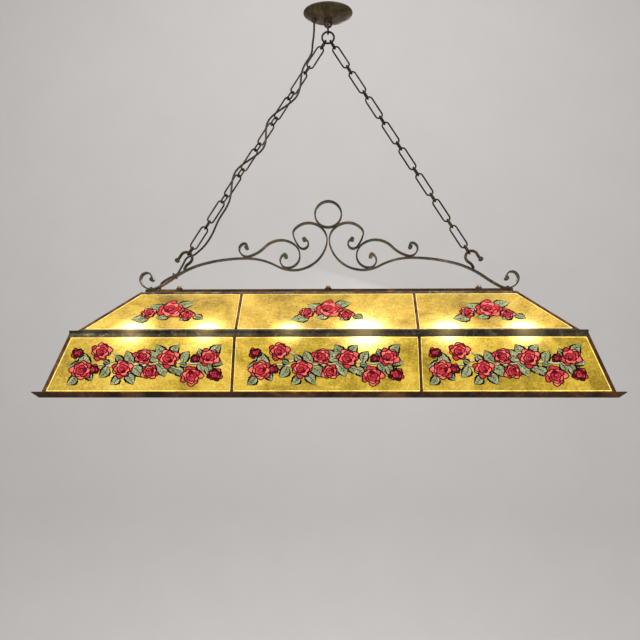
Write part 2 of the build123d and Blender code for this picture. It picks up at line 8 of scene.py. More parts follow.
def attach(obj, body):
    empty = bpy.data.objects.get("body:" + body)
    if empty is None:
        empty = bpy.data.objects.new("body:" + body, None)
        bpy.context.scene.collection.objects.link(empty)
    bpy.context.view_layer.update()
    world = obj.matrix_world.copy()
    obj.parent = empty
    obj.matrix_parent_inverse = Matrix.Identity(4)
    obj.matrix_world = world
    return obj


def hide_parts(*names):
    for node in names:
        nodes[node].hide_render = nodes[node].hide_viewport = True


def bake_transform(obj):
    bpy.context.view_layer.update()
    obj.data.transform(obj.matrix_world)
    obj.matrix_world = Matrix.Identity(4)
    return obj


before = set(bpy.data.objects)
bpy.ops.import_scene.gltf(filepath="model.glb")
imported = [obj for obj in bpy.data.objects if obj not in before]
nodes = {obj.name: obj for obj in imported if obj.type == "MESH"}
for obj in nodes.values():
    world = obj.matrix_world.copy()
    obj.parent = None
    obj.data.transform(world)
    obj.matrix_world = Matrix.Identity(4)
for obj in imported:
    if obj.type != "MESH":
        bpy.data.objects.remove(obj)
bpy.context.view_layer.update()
scene = bpy.context.scene
scene.view_settings.view_transform = "Standard"  # so that the lit glass keeps its amber

# ---- sizes, in metres ---------------------------------------------------------------------
MM = 0.001
bulb_z = -0.7719
bulb_xs = (-0.4391, -0.2709, -0.0841, 0.0841, 0.2709, 0.4391)
bulb_r = 0.030
cluster_xs = (-0.355, 0.0, 0.355)
cluster_z = -0.7108
socket_drop = radians(36)

# where the glass carries the bulbs' painted hot spots and the painted shadows of the clusters' stems
spot_y, spot_z, end_spot_x = 0.188, -0.787, 0.545
spot_pull = 0.955
spot_sizes = (0.052, 0.050, 0.044, 0.072, 0.056, 0.056)
end_spot_size = 0.036
stem_shadow_y, stem_shadow_z, stem_shadow_size = 0.096, -0.712, 0.016

# one sloping tier of the shade: the foot and slope of its outer face, the middle of an outer panel,
# the hip came's lap, and how far up the slope the visible glass and the solder joints lie
Tier = namedtuple("Tier", "foot_z half_long half_short lean rise middle hip visible solder")
tiers = {
    "lower": Tier(-0.9368, 0.5955, 0.240, 0.3141, 0.9494, 0.378, 0.0078, (0.0150, 0.1335), (0.0160, 0.1325)),
    "upper": Tier(-0.7938, 0.537, 0.1815, 0.747, 0.6648, 0.352, 0.0090, (0.0070, 0.1365), (0.0085, 0.1350)),
}
mullion_x, mullion_inner, mullion_outer = 0.196, 0.1925, 0.1995


# ---- materials ----------------------------------------------------------------------------
class Shader:
    """A Principled material with a few helpers for procedural detail."""

    def __init__(self, name, color=(0.5, 0.5, 0.5), rough=0.5, metal=0.0):
        self.mat = bpy.data.materials.new(name)
        self.mat.use_nodes = True
        self.tree = self.mat.node_tree
        self.bsdf = self.tree.nodes["Principled BSDF"]
        self.bsdf.inputs["Base Color"].default_value = (*color, 1)
        self.bsdf.inputs["Roughness"].default_value = rough
        self.bsdf.inputs["Metallic"].default_value = metal
        self.place = self.tree.nodes.new("ShaderNodeTexCoord").outputs["Object"]

    def link(self, source, socket):
        self.tree.links.new(source, socket)

    def set(self, name, value):
        self.bsdf.inputs[name].default_value = value

    def noise(self, scale, detail=4.0, rough=0.6, distortion=0.0, stretch=None):
        node = self.tree.nodes.new("ShaderNodeTexNoise")
        node.inputs["Scale"].default_value = scale
        node.inputs["Detail"].default_value = detail
        node.inputs["Roughness"].default_value = rough
        node.inputs["Distortion"].default_value = distortion
        place = self.place
        if stretch:
            mapping = self.tree.nodes.new("ShaderNodeMapping")
            mapping.inputs["Scale"].default_value = stretch
            self.link(place, mapping.inputs["Vector"])
            place = mapping.outputs["Vector"]
        self.link(place, node.inputs["Vector"])
        return node.outputs["Fac"]

    def ramp(self, source, *stops):
        node = self.tree.nodes.new("ShaderNodeValToRGB")
        elements = node.color_ramp.elements
        while len(elements) < len(stops):
            elements.new(0.5)
        for element, (at, color) in zip(elements, stops):
            element.position = at
            if isinstance(color, (int, float)):
                color = (color, color, color)
            element.color = (*color, 1)
        self.link(source, node.inputs["Fac"])
        return node.outputs["Color"]

    def mix(self, fac, a, b, mode="MIX"):
        node = self.tree.nodes.new("ShaderNodeMix")
        node.data_type = "RGBA"
        node.blend_type = mode
        # this node has sockets for numbers and vectors too; these are its factor and its two colours
        for value, socket in ((fac, node.inputs[0]), (a, node.inputs[6]), (b, node.inputs[7])):
            if isinstance(value, (int, float)):
                socket.default_value = value
            elif isinstance(value, tuple):
                socket.default_value = (*value, 1)
            else:
                self.link(value, socket)
        return node.outputs[2]

    def math(self, operation, a, b=0.5):
        node = self.tree.nodes.new("ShaderNodeMath")
        node.operation = operation
        for value, socket in ((a, node.inputs[0]), (b, node.inputs[1])):
            if isinstance(value, (int, float)):
                socket.default_value = value
            else:
                self.link(value, socket)
        return node.outputs[0]

    def bump(self, height, strength=0.3, distance=0.001):
        node = self.tree.nodes.new("ShaderNodeBump")
        node.inputs["Strength"].default_value = strength
        node.inputs["Distance"].default_value = distance
        self.link(height, node.inputs["Height"])
        self.link(node.outputs["Normal"], self.bsdf.inputs["Normal"])

    def near(self, point, size):
        """1 at a point, falling to 0 at about three sizes away."""
        node = self.tree.nodes.new("ShaderNodeVectorMath")
        node.operation = "DISTANCE"
        node.inputs[1].default_value = point
        self.link(self.place, node.inputs[0])
        scaled = self.math("DIVIDE", node.outputs["Value"], size)
        squared = self.math("MULTIPLY", scaled, scaled)
        return self.math("DIVIDE", 1.0, self.math("ADD", squared, 1.0))


def hot_spots(s):
    """Where the bulbs shine through: bright near each, on all four sides."""
    total = None
    spots = [((x * spot_pull, y, spot_z), size)
             for x, size in zip(bulb_xs, spot_sizes) for y in (-spot_y, spot_y)]
    spots += [((x, 0, spot_z), end_spot_size) for x in (-end_spot_x, end_spot_x)]
    for place, size in spots:
        spot = s.math("POWER", s.near(place, size), 4.0)
        total = spot if total is None else s.math("ADD", total, spot)
    return total


def aged_metal(name, dark, mid, wear, rough=0.48, patina=None, metal=0.75, lit=0.0):
    """Bronzed or painted metal with blotches, worn spots and fine pits, lit near the bulbs on request."""
    s = Shader(name, mid, rough, metal)
    blotch = s.noise(22, 5, 0.65, 0.4)
    color = s.ramp(blotch, (0.34, dark), (0.55, mid), (0.72, wear))
    if patina:
        where = s.ramp(s.noise(60, 6, 0.7, 0.8), (0.52, 0.0), (0.64, 1.0))
        color = s.mix(where, color, patina)
    fine = s.noise(420, 3, 0.6)
    color = s.mix(0.35, color, s.ramp(fine, (0.3, 0.25), (0.7, 0.75)), "OVERLAY")
    s.link(color, s.bsdf.inputs["Base Color"])
    polish = s.ramp(s.noise(75, 4, 0.6), (0.3, rough - 0.14), (0.7, rough + 0.2))
    s.link(polish, s.bsdf.inputs["Roughness"])
    s.bump(s.math("ADD", fine, s.noise(110, 4, 0.6)), 0.35, 0.0004)
    # painted glow: the metal brightens near the bulbs' hot spots
    if lit:
        s.set("Emission Color", (1.0, 0.72, 0.30, 1))
        glow = s.math("MULTIPLY", s.math("POWER", hot_spots(s), 1.5), lit)
        s.link(glow, s.bsdf.inputs["Emission Strength"])
    return s.mat


def art_glass(name, low, high, glow, strength):
    """Amber mica-like sheet: mottled, scratched, glowing with painted bulb light, brightest in painted hot
    spots where the bulbs stand and darkened by painted shadows at the stems.
    """
    s = Shader(name, low, 0.34)
    cloud = s.noise(7, 5, 0.62, 1.2)
    color = s.ramp(cloud, (0.34, low), (0.5, high), (0.66, glow))
    flakes = s.noise(120, 4, 0.75, 2.2)
    color = s.mix(0.75, color, s.ramp(flakes, (0.36, 0.22), (0.64, 0.72)), "OVERLAY")
    scratch = s.noise(45, 3, 0.8, 0.5, (1.0, 1.0, 7.0))
    color = s.mix(0.45, color, s.ramp(scratch, (0.4, 0.34), (0.62, 0.66)), "OVERLAY")
    s.link(s.mix(0.8, color, tuple(0.15 * c for c in low)), s.bsdf.inputs["Base Color"])
    shine = hot_spots(s)
    # painted shadows of the clusters' stems darken the glass near them
    for x in cluster_xs:
        for y in (-stem_shadow_y, stem_shadow_y):
            shadow = s.near((x, y, stem_shadow_z), stem_shadow_size)
            color = s.mix(s.math("MULTIPLY", shadow, 0.62), color, (0.05, 0.04, 0.005))
    # painted light: the glass glows all over, and much more in the hot spots
    power = s.math("ADD", s.math("MULTIPLY", shine, 9.0), strength)
    power = s.math("MULTIPLY", s.ramp(flakes, (0.2, 0.8), (0.8, 1.0)), power)
    s.link(s.mix(s.math("MINIMUM", shine, 1.0), color, (1.0, 0.86, 0.52)), s.bsdf.inputs["Emission Color"])
    s.link(power, s.bsdf.inputs["Emission Strength"])
    s.bump(s.math("ADD", flakes, scratch), 0.25, 0.0005)
    s.set("Specular IOR Level", 0.07)
    return s.mat


def paint(name, dark, mid, light, scale=70, glow=0.16):
    """Fired paint on lit glass, brushed unevenly."""
    s = Shader(name, mid, 0.5)
    strokes = s.noise(scale, 4, 0.65, 1.4)
    color = s.ramp(strokes, (0.3, dark), (0.52, mid), (0.74, light))
    s.link(color, s.bsdf.inputs["Base Color"])
    # the paint's glow is painted light: the bulbs' light coming through the glass
    s.link(color, s.bsdf.inputs["Emission Color"])
    s.set("Emission Strength", glow)
    s.set("Specular IOR Level", 0.06)
    s.set("Roughness", 0.75)
    s.bump(strokes, 0.2, 0.0002)
    return s.mat


bronze = aged_metal("bronzed_steel_aged",
                    (0.022, 0.010, 0.004), (0.085, 0.036, 0.012), (0.22, 0.10, 0.035), 0.58)
# the rails get a painted glow near the bulbs
rail_bronze = aged_metal("rail_bronze_aged",
                         (0.010, 0.007, 0.005), (0.045, 0.032, 0.017), (0.12, 0.10, 0.055), 0.42,
                         patina=(0.10, 0.095, 0.05), lit=0.35)
iron = aged_metal("patina_iron_aged",
                  (0.018, 0.015, 0.009), (0.10, 0.072, 0.036), (0.30, 0.20, 0.10), 0.5,
                  patina=(0.075, 0.085, 0.05))
chain_iron = aged_metal("chain_iron_aged",
                        (0.014, 0.010, 0.008), (0.055, 0.036, 0.024), (0.16, 0.11, 0.07), 0.4)
brass = aged_metal("brass_aged",
                   (0.16, 0.09, 0.03), (0.42, 0.28, 0.10), (0.68, 0.5, 0.22), 0.34, metal=1.0)
steel = aged_metal("plated_steel_dull",
                   (0.28, 0.28, 0.28), (0.5, 0.5, 0.5), (0.66, 0.65, 0.63), 0.36, metal=1.0)
screw_shell = aged_metal("screw_shell_brass",
                         (0.4, 0.3, 0.14), (0.72, 0.56, 0.28), (0.85, 0.74, 0.46), 0.28, metal=1.0)
lower_glass = art_glass("amber_glass_lower",
                        (0.34, 0.22, 0.02), (0.64, 0.44, 0.045), (0.90, 0.63, 0.10), 0.84)
upper_glass = art_glass("amber_glass_upper",
                        (0.40, 0.24, 0.02), (0.68, 0.44, 0.045), (0.92, 0.63, 0.10), 0.80)
end_glass = art_glass("amber_glass_end",
                      (0.46, 0.20, 0.02), (0.70, 0.38, 0.05), (0.84, 0.54, 0.10), 0.74)
petal = paint("petal_coral", (0.26, 0.010, 0.018), (0.52, 0.035, 0.045), (0.70, 0.09, 0.08), 70, 0.28)
petal_light = paint("petal_light", (0.54, 0.06, 0.055), (0.76, 0.14, 0.11), (0.90, 0.28, 0.22), 70, 0.32)
petal_dark = paint("petal_dark", (0.03, 0.0, 0.004), (0.10, 0.002, 0.012), (0.22, 0.008, 0.022), 90, 0.08)
leaf_green = paint("leaf_green", (0.10, 0.13, 0.055), (0.27, 0.29, 0.15), (0.50, 0.49, 0.30), 60, 0.36)
line_dark = paint("line_dark", (0.001, 0.002, 0.001), (0.003, 0.005, 0.002), (0.010, 0.010, 0.004), 120, 0.0)
vine_grey = paint("vine_grey", (0.34, 0.33, 0.22), (0.52, 0.50, 0.36), (0.66, 0.62, 0.46), 90, 0.30)
# a bright line round each panel's visible glass: painted light along the glass edges
painted_edge_glow = paint("edge_light", (0.60, 0.40, 0.08), (0.90, 0.66, 0.18), (1.0, 0.85, 0.40), 60, 0.7)


def cord_jacket():
    """Braided cloth over the supply cord."""
    s = Shader("cord_jacket_woven", (0.03, 0.02, 0.016), 0.62)
    weave = s.noise(900, 2, 0.5, 0.0, (1.0, 1.0, 0.5))
    color = s.ramp(weave, (0.35, (0.010, 0.007, 0.006)), (0.65, (0.055, 0.034, 0.026)))
    s.link(color, s.bsdf.inputs["Base Color"])
    s.link(s.ramp(s.noise(120, 3), (0.3, 0.45), (0.7, 0.75)), s.bsdf.inputs["Roughness"])
    s.bump(weave, 0.5, 0.0003)
    return s.mat


def dark_plastic():
    s = Shader("black_plastic_matte", (0.02, 0.02, 0.02), 0.55)
    color = s.ramp(s.noise(80, 4), (0.3, (0.012, 0.012, 0.012)), (0.7, (0.045, 0.043, 0.04)))
    s.link(color, s.bsdf.inputs["Base Color"])
    s.bump(s.noise(500, 3), 0.25, 0.0002)
    return s.mat


def bulb_glass():
    """Frosted glass, lit from inside."""
    s = Shader("bulb_glass_lit", (1.0, 0.90, 0.70), 0.25)
    frost = s.noise(55, 3)
    color = s.ramp(frost, (0.3, (0.95, 0.80, 0.52)), (0.7, (1.0, 0.92, 0.74)))
    s.link(color, s.bsdf.inputs["Base Color"])
    s.set("Emission Color", (1.0, 0.74, 0.38, 1))
    s.link(s.ramp(frost, (0.3, 5.0), (0.7, 7.0)), s.bsdf.inputs["Emission Strength"])
    return s.mat


jacket, plastic, bulb_lit = cord_jacket(), dark_plastic(), bulb_glass()


def coat(node, material):
    obj = nodes[node]
    obj.data.materials.clear()
    obj.data.materials.append(material)


finishes = {
    bronze: ("rim", "upper_hips", "lower_hips", "upper_mullions", "lower_mullions", "spine_bar"),
    rail_bronze: ("mid_rail", "top_frame"),
    iron: ("long_scroll_left", "long_scroll_right", "small_scroll_left", "small_scroll_right", "crest_ring",
           "chain_hook_left", "chain_hook_right", "scroll_foot_screws", "stem_nuts", "canopy_cover"),
    chain_iron: ("left_long_links", "left_short_links", "right_long_links", "right_short_links",
                 "carrier_ring", "hanger_link", "canopy_loop"),
    brass: ("cluster_bodies", "cluster_stems", "lamp_sockets", "canopy_nuts"),
    steel: ("ceiling_crossbar",),
    plastic: ("cord_grommet", "cord_tie", "canopy_bushing"),
    jacket: ("cord_top", "cord_chain", "cord_shade", "inner_wires"),
    bulb_lit: tuple(f"bulb_{i}" for i in range(1, 7)),
}
for finish, names in finishes.items():
    for name in names:
        coat(name, finish)
for name in nodes:
    if "_panel_" in name:
        end = name.endswith("panel_left") or name.endswith("panel_right")
        coat(name, end_glass if end else lower_glass if name.startswith("lower") else upper_glass)


# ---- making pieces ------------------------------------------------------------------------
def piece(name, verts, faces, materials, body, picks=None, smooth=False):
    """A mesh on a body, with one material or a pick of several for each face."""
    mesh = bpy.data.meshes.new(name)
    mesh.from_pydata([tuple(v) for v in verts], [], faces)
    for material in materials:
        mesh.materials.append(material)
    if picks:
        for polygon, pick in zip(mesh.polygons, picks):
            polygon.material_index = pick
    for polygon in mesh.polygons:
        polygon.use_smooth = smooth
    mesh.validate()
    mesh.update()
    obj = bpy.data.objects.new(name, mesh)
    scene.collection.objects.link(obj)
    if body:
        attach(obj, body)
    return obj


def skin(rings, count, base=0):
    """Faces from ring to ring, for rings of points that all have the same count."""
    faces = []
    for i in range(rings - 1):
        for k in range(count):
            a, b = base + i * count + k, base + i * count + (k + 1) % count
            faces.append((a, b, b + count, a + count))
    return faces


def flowing(points, steps):
    """Smooth points through a few given ones, in the plane or in space."""
    found = []
    for i in range(len(points) - 1):
        p0, p1, p2 = points[max(i - 1, 0)], points[i], points[i + 1]
        p3 = points[min(i + 2, len(points) - 1)]
        for k in range(steps):
            t = k / steps
            found.append(tuple(
                0.5 * (2 * b + (c - a) * t + (2 * a - 5 * b + 4 * c - d) * t * t
                       + (3 * b - a - 3 * c + d) * t ** 3)
                for a, b, c, d in zip(p0, p1, p2, p3)))
    found.append(tuple(points[-1]))
    return found


# ---- painted roses on the glass -----------------------------------------------------------
class Face:
    """Outer face of one glass panel: x along it and climb up it to a point just off the glass."""

    def __init__(self, origin, along, climb, out):
        self.origin, self.along = Vector(origin), Vector(along)
        self.climb, self.out = Vector(climb), Vector(out)

    def at(self, x, climb, lift):
        return self.origin + self.along * x + self.climb * climb + self.out * lift


first_lift, layer_lift = 0.00016, 0.00007


class Art:
    """Flat painted shapes gathered into one mesh. Each layer lies a little higher."""

    def __init__(self, face):
        self.face, self.verts, self.faces, self.picks = face, [], [], []

    def shape(self, points, layer, material):
        """A filled outline of (x, climb) points, with its middle raised slightly."""
        lift = first_lift + layer_lift * layer
        cx = sum(p[0] for p in points) / len(points)
        cy = sum(p[1] for p in points) / len(points)
        base = len(self.verts)
        self.verts.append(self.face.at(cx, cy, lift + 0.00005))
        self.verts.extend(self.face.at(x, y, lift) for x, y in points)
        count = len(points)
        for i in range(count):
            self.faces.append((base, base + 1 + i, base + 1 + (i + 1) % count))
            self.picks.append(material)

    def ribbon(self, points, widths, layer, material):
        """A line of one width, or of a width at each point."""
        lift = first_lift + layer_lift * layer
        base = len(self.verts)
        count = len(points)
        for i, (x, y) in enumerate(points):
            ax, ay = points[max(i - 1, 0)]
            bx, by = points[min(i + 1, count - 1)]
            length = hypot(bx - ax, by - ay) or 1
            nx, ny = -(by - ay) / length, (bx - ax) / length
            w = widths[i] / 2 if isinstance(widths, (list, tuple)) else widths / 2
            self.verts.append(self.face.at(x + nx * w, y + ny * w, lift))
            self.verts.append(self.face.at(x - nx * w, y - ny * w, lift))
        for i in range(count - 1):
            a = base + 2 * i
            self.faces.append((a, a + 1, a + 3, a + 2))
            self.picks.append(material)


PETAL, LIGHT, DARK, LEAF, LINE, VINE, EDGE = range(7)
art_paints = [petal, petal_light, petal_dark, leaf_green, line_dark, vine_grey, painted_edge_glow]


def wobble(i, seed, size):
    """A factor that wanders about 1, so that no two outlines are quite alike."""
    return 1 + size * sin(2.7 * i + 1.9 * seed) * cos(1.3 * i + seed)


def blob(cx, cy, rx, ry, turn, seed, rough=0.06, lobes=0, depth=0.0, count=40):
    """Uneven oval outline with optional lobes."""
    points = []
    for i in range(count):
        a = 2 * pi * i / count
        k = wobble(i * 0.5, seed, rough) * (1 + depth * cos(lobes * a + seed))
        x, y = rx * k * cos(a), ry * k * sin(a)
        points.append((cx + x * cos(turn) - y * sin(turn), cy + x * sin(turn) + y * cos(turn)))
    return points


def arc(cx, cy, r, first, last, squeeze=0.85, count=14):
    """Points round part of a flattened circle."""
    steps = [first + (last - first) * i / (count - 1) for i in range(count)]
    return [(cx + r * cos(a), cy + r * squeeze * sin(a)) for a in steps]


def taper(count, width):
    """Widths of a brush stroke: thin at both ends."""
    return [width * (0.15 + sin(pi * i / (count - 1))) for i in range(count)]


def pointed(cx, cy, angle, reach, half, squeeze, seed, start=0.0):
    """A pointed petal from near the middle outwards, a little crooked."""
    count, points = 7, []
    for side in (1, -1):
        steps = range(count + 1) if side > 0 else range(count - 1, 0, -1)
        for i in steps:
            t = i / count
            along = reach * (start + (1 - start) * t)
            swell = sin(pi * min(t ** 1.25 * 0.98 + 0.02, 1)) ** 0.8
            across = side * half * swell + 0.10 * reach * sin(seed + 2 * t)
            x, y = along * cos(angle) - across * sin(angle), along * sin(angle) + across * cos(angle)
            points.append((cx + x, cy + y * squeeze))
    return points


def rose(art, cx, cy, r, seed, dark=False, squeeze=0.9, layer=6):
    """A full rose: rings of pointed petals with dark edges round a swirled heart."""
    rings = ((8, 1.20, 0.36, 0.25), (7, 0.92, 0.33, 0.15), (5, 0.62, 0.26, 0.1))
    if dark:
        fills = ((PETAL, DARK), (DARK, PETAL), (PETAL, DARK))
    else:
        fills = ((PETAL, LIGHT), (LIGHT, PETAL), (PETAL, DARK))
    for ring, ((petals, reach, half, start), pair) in enumerate(zip(rings, fills)):
        for k in range(petals):
            a = 2 * pi * (k + 0.5 * ring) / petals + seed + 0.12 * sin(3 * k + seed)
            long = r * reach * (1 + 0.10 * sin(2.3 * k + seed))
            height = layer + 3 * ring + k % 2
            edge = pointed(cx, cy, a, long + 0.0010, r * half + 0.0016, squeeze, seed + k, start)
            art.shape(edge, height, LINE if ring < 2 else DARK)
            inner = pointed(cx, cy, a, long - 0.0014, r * half - 0.0005, squeeze, seed + k, start)
            art.shape(inner, height + 1.5, pair[k % 2] if k % 3 else pair[0])
    art.shape(blob(cx, cy, r * 0.30, r * 0.28, 0.3, seed, 0.06), layer + 10, DARK)
    art.shape(blob(cx, cy, r * 0.24, r * 0.22, 0.3, seed, 0.06), layer + 11, PETAL)
    for turn, size in ((0.2, 0.27), (2.3, 0.18), (4.2, 0.10)):
        line = arc(cx, cy, r * size, turn + seed, turn + seed + 3.1, squeeze)
        art.ribbon(line, taper(len(line), r * 0.08), layer + 12, DARK)
    line = arc(cx, cy, r * 0.5, seed, seed + 2.2, squeeze)
    art.ribbon(line, taper(len(line), r * 0.05), layer + 12, DARK)


def leaf(art, x0, y0, x1, y1, wide=0.42, bend=0.12, layer=1, grow=1.2):
    """A pointed leaf from its stalk to its tip, with dark edge, midrib and side veins."""
    length = hypot(x1 - x0, y1 - y0)
    ux, uy = (x1 - x0) / length, (y1 - y0) / length
    x0, y0, length = x0 - 0.12 * length * ux, y0 - 0.12 * length * uy, length * grow

    def spot(t, w):
        sway = bend * length * sin(pi * t)
        return (x0 + ux * length * t - uy * (w + sway), y0 + uy * length * t + ux * (w + sway))

    def outline(half):
        count = 12
        ways = [sin(pi * (i / count) ** 0.8) * (1 + 0.08 * sin(i * 2.4)) * half for i in range(count + 1)]
        left = [spot(i / count, ways[i]) for i in range(count + 1)]
        right = [spot(i / count, -ways[i]) for i in range(count - 1, 0, -1)]
        return left + right

    art.shape(outline(length * wide / 2 + 0.0034), layer, LINE)
    art.shape(outline(length * wide / 2 - 0.0012), layer + 1, LEAF)
    rib = [spot(i / 8, 0) for i in range(9)]
    art.ribbon(rib, [0.0016 * (1 - 0.7 * i / 8) for i in range(9)], layer + 2, LINE)
    for t in (0.25, 0.42, 0.6):
        for side in (-1, 1):
            vein = [spot(t, 0), spot(t + 0.14, side * length * wide * 0.30)]
            art.ribbon(vein, [0.0011, 0.0004], layer + 2, LINE)


def vine(art, points, width=0.0034, layer=0):
    """A stalk through a few points, with a dark underside."""
    smooth = flowing(points, 6)
    art.ribbon([(x, y - 0.0007) for x, y in smooth], width * 1.25, layer, LINE)
    art.ribbon(smooth, width * 0.75, layer + 1, VINE)


# the lower print, in mm on a panel of this half width: roses are (x, climb, radius, dark), leaves
# run from stalk to tip, and each vine is a row of points
drawn_half, print_stretch = 194, 1.03
lower_roses = (
    (-146, 98, 11, 1), (-97, 102, 18, 0), (-134, 60, 19, 0), (-109, 62, 10, 1),
    (-50, 63, 18, 0), (-11, 90, 16, 0), (7, 56, 15, 0), (43, 86, 19, 0),
    (99, 86, 9, 1), (127, 89, 18, 0), (93, 47, 19, 0), (141, 50, 13, 1),
)
lower_leaves = (
    (-134, 76, -161, 68), (-121, 71, -134, 100), (-144, 47, -159, 29), (-123, 50, -110, 37),
    (-81, 67, -95, 45), (-52, 82, -64, 95), (-78, 76, -89, 84), (-57, 47, -70, 29),
    (-41, 49, -25, 29), (-27, 79, -44, 103), (-30, 65, -8, 45), (25, 85, 0, 106),
    (37, 96, 18, 117), (51, 95, 63, 116), (21, 72, 38, 46), (45, 68, 58, 52),
    (75, 79, 85, 102), (69, 73, 82, 68), (114, 93, 105, 108), (135, 93, 149, 117),
    (133, 76, 155, 73), (106, 73, 114, 53), (122, 71, 127, 48), (58, 62, 76, 46),
)
lower_vines = (
    ((-117, 69), (-105, 71), (-94, 73), (-81, 70), (-69, 69)),
    ((-34, 69), (-19, 73), (-6, 71), (10, 73), (29, 76)),
    ((63, 77), (74, 79), (85, 76), (98, 75), (111, 78)),
    ((-72, 100), (-64, 93), (-66, 84), (-73, 80), (-79, 84)),
)


def lower_art(face, half):
    """The band of roses on one lower panel."""
    art = Art(face)
    k = half / drawn_half * print_stretch
    for x, c, r, dark in lower_roses:
        rose(art, x * k * MM, c * MM, r * MM * min(1.08, k + 0.06), x * 0.7 + c, bool(dark))
    for x0, c0, x1, c1 in lower_leaves:
        leaf(art, x0 * k * MM, c0 * MM, x1 * k * MM, c1 * MM, 0.62)
    for points in lower_vines:
        vine(art, [(x * k * MM, c * MM) for x, c in points])
    return art


# the upper print: each rose is (x, climb, radius, seed, layer)
upper_leaves = (
    (-6, 84, -42, 96), (20, 86, 52, 100), (-42, 55, -77, 42), (0, 60, -24, 46), (46, 54, 28, 39),
    (58, 52, 78, 41),
)
upper_roses = ((-44, 64, 15, 3.1, 6), (42, 58, 15, 5.2, 6), (4, 77, 25, 1.4, 18))


def upper_art(face):
    """The single spray on one upper panel."""
    art = Art(face)
    for x0, c0, x1, c1 in upper_leaves:
        leaf(art, x0 * MM, c0 * MM, x1 * MM, c1 * MM, 0.62)
    for x, c, r, seed, layer in upper_roses:
        rose(art, x * MM, c * MM, r * MM, seed, False, 1.1, layer)
    return art


def panel_corners(tier, side, name):
    """Visible corners of a panel as (x, climb), round to the first again."""

    def reach(climb):
        end_half = tier.half_short - tier.lean * climb - tier.hip
        if side == "end":
            return -end_half, end_half
        if name.endswith("centre"):
            return -mullion_inner, mullion_inner
        inner = tier.middle - mullion_outer
        outer = tier.half_long - tier.lean * climb - tier.hip - tier.middle
        return (-outer, inner) if name.endswith("left") == (side == "front") else (-inner, outer)

    low, high = tier.visible
    (a, b), (c, d) = reach(low), reach(high)
    return [(a, low), (b, low), (d, high), (c, high), (a, low)]


def tier_face(tier, turn, x, foot_y):
    """Outer face of a panel with its foot at x and foot_y, before the turn about the lamp's middle."""
    along, climb, out = (1, 0, 0), (0, tier.lean, tier.rise), (0, -tier.rise, tier.lean)
    return Face(turn @ Vector((x, foot_y, tier.foot_z)), turn @ Vector(along), turn @ Vector(climb),
                turn @ Vector(out))


def panel_faces():
    """Name, tier, side and art face of every glass panel."""
    found = []
    for side, yaw, mirror in (("front", 0, 1), ("back", pi, -1)):
        turn = Matrix.Rotation(yaw, 3, "Z")
        for place, x in (("left", -1), ("centre", 0), ("right", 1)):
            for level, tier in tiers.items():
                face = tier_face(tier, turn, x * tier.middle * mirror, -tier.half_short)
                found.append((f"{level}_{side}_{place}", level, side, face))
    for place, yaw in (("left", -pi / 2), ("right", pi / 2)):
        turn = Matrix.Rotation(yaw, 3, "Z")
        for level, tier in tiers.items():
            found.append((f"{level}_{place}", level, "end", tier_face(tier, turn, 0, -tier.half_long)))
    return found


panels = panel_faces()
for name, level, side, face in panels:
    if level == "lower":
        art = lower_art(face, 172 if side == "end" else 194)
    else:
        art = upper_art(face)
    corners = panel_corners(tiers[level], side, name)
    # painted light: a glowing line round the panel's visible glass
    for (x0, c0), (x1, c1) in zip(corners, corners[1:]):
        steps = 12
        line = [(x0 + (x1 - x0) * i / steps, c0 + (c1 - c0) * i / steps) for i in range(steps + 1)]
        art.ribbon(line, [0.0014 + 0.0004 * sin(1.7 * i) for i in range(steps + 1)], 0, EDGE)
    piece(f"{name}_roses", art.verts, art.faces, art_paints, "shade", art.picks)


# ---- solder where cames meet rails --------------------------------------------------------
def solder_joint(verts, faces, face, x, climb, wide, seed):
    """A low, uneven puddle of solder lying on a came."""
    base, rings, count = len(verts), 4, 16
    for ring in range(rings + 1):
        t = ring / rings
        for k in range(count):
            a = 2 * pi * k / count
            r = wide * sin(pi / 2 * t) * (1 + 0.16 * sin(3 * a + seed) + 0.08 * cos(5 * a - seed))
            rise = 0.0011 + 0.0011 * cos(pi / 2 * t) * (1 + 0.2 * sin(2 * a + seed))
            verts.append(face.at(x + r * cos(a), climb + 0.8 * r * sin(a), rise))
    faces.extend(skin(rings + 1, count, base))


verts, faces = [], []
for name, level, side, face in panels:
    if name.endswith("centre"):
        for x in (-mullion_x, mullion_x):
            for climb in tiers[level].solder:
                solder_joint(verts, faces, face, x, climb, 0.0034, 60 * x + 90 * climb)
piece("came_solder", verts, faces, [rail_bronze], "shade", None, True)


# ---- bulbs --------------------------------------------------------------------------------
def lathe(name, axis_start, axis, profile, material, body, count=40):
    """Turned piece: profile is (along, radius) from one end to the other."""
    direction = Vector(axis).normalized()
    side = direction.cross(Vector((0, 1, 0))).normalized()
    other = direction.cross(side)
    verts = []
    for along, r in profile:
        for k in range(count):
            a = 2 * pi * k / count
            verts.append(Vector(axis_start) + direction * along + (side * cos(a) + other * sin(a)) * r)
    faces = skin(len(profile), count)
    return piece(name, verts, faces, [material], body, None, True)


def thread_profile(first, last, r, pitch=0.0036, depth=0.0008):
    """A lamp cap's rolled thread, drawn as rings."""
    steps = round((last - first) / pitch * 8)
    return [(first + (last - first) * i / steps, r - depth * (0.5 - 0.5 * cos(2 * pi * i / 8)))
            for i in range(steps + 1)]


def bulb_profile():
    """Neck, shoulder and globe, from the cap's end to the tip, just inside the CAD bulb."""
    reach, inside, thinnest = 0.104, 0.998, 0.0001
    points = [(0.0592, 0.0118), (0.0602, 0.01265), (0.066, 0.0141), (0.074, 0.0177), (0.081, 0.0215)]
    first = radians(137)
    for i in range(15):
        a = first * (1 - i / 14)
        points.append((reach + bulb_r * cos(a) * inside, max(bulb_r * sin(a) * inside, thinnest)))
    return points


